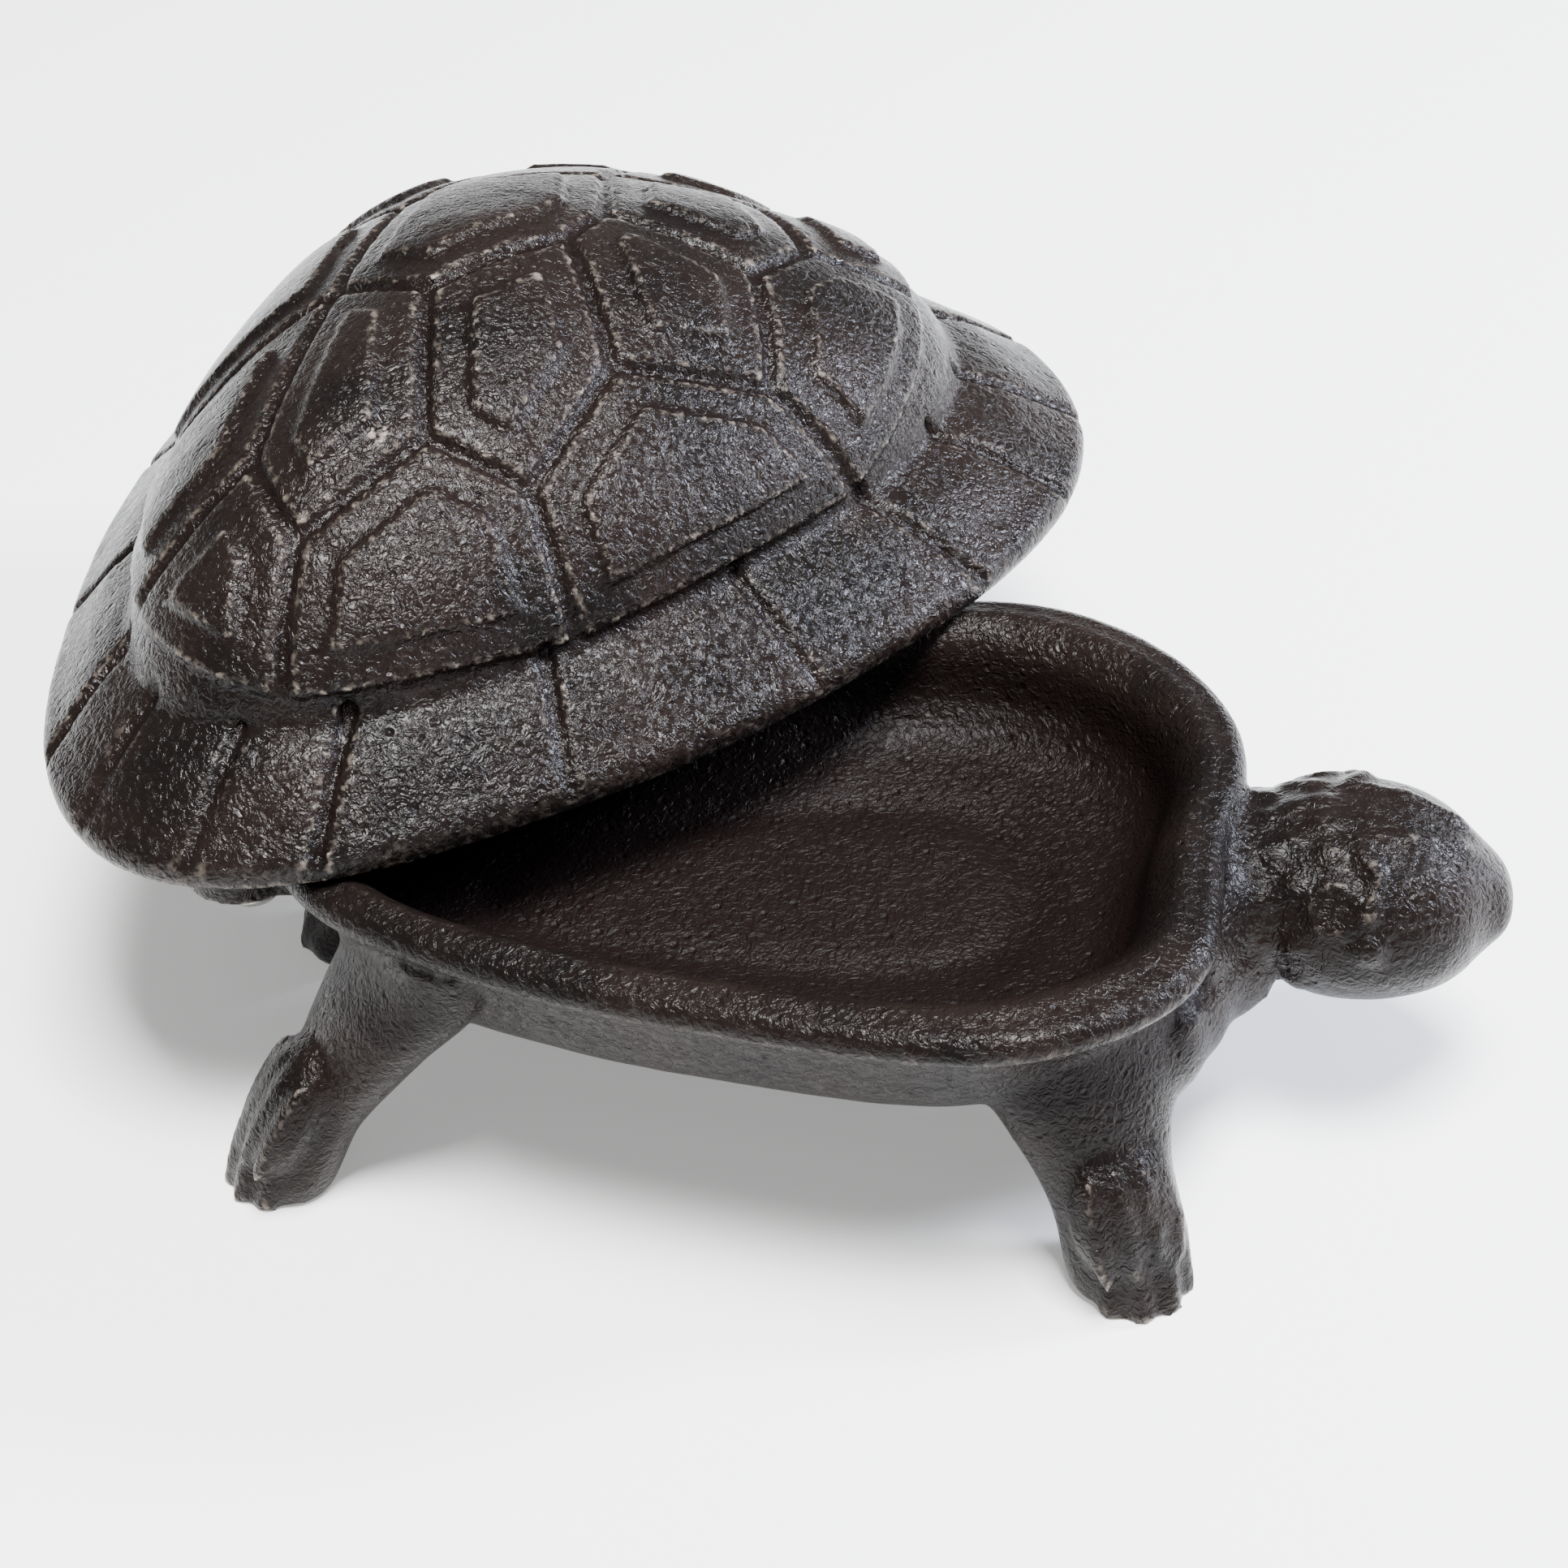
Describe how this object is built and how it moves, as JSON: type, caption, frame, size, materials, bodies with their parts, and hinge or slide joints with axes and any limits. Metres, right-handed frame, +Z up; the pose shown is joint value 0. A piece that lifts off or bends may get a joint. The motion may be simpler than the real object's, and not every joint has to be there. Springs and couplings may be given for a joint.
{
  "type": "turtle key hider",
  "caption": "Cast-iron turtle with a hollow body tray for hiding a key and a scuted shell lid that swivels level on a pivot at the tail.",
  "frame": {"origin": "on the ground under the middle of the whole turtle with its shell swung open, at the level of the four soles", "axes": "+Z up, +X towards the head along the body tray, +Y towards the side that the open shell stands out on"},
  "size_m": [0.1576, 0.1538, 0.077],
  "materials": {
    "base_iron": "sand-cast iron with a dark bronze-brown semi-gloss coating, fine pits",
    "shell_iron": "sand-cast iron with a dark bronze-brown semi-gloss coating, worn on the ridges",
    "pivot_steel": "zinc-plated steel, dulled"
  },
  "bodies": {
    "base": {"base_casting": "base_iron"},
    "shell": {"shell_lid": "shell_iron", "pivot_screw": "pivot_steel", "pivot_washer": "pivot_steel"}
  },
  "joints": [
    {"name": "shell_swivel", "type": "hinge", "parent": "base", "child": "shell", "pos_m": [-0.05373, -0.03904, 0.025], "axis": [0, 0, 1], "range_deg": [-63, 27]}
  ]
}
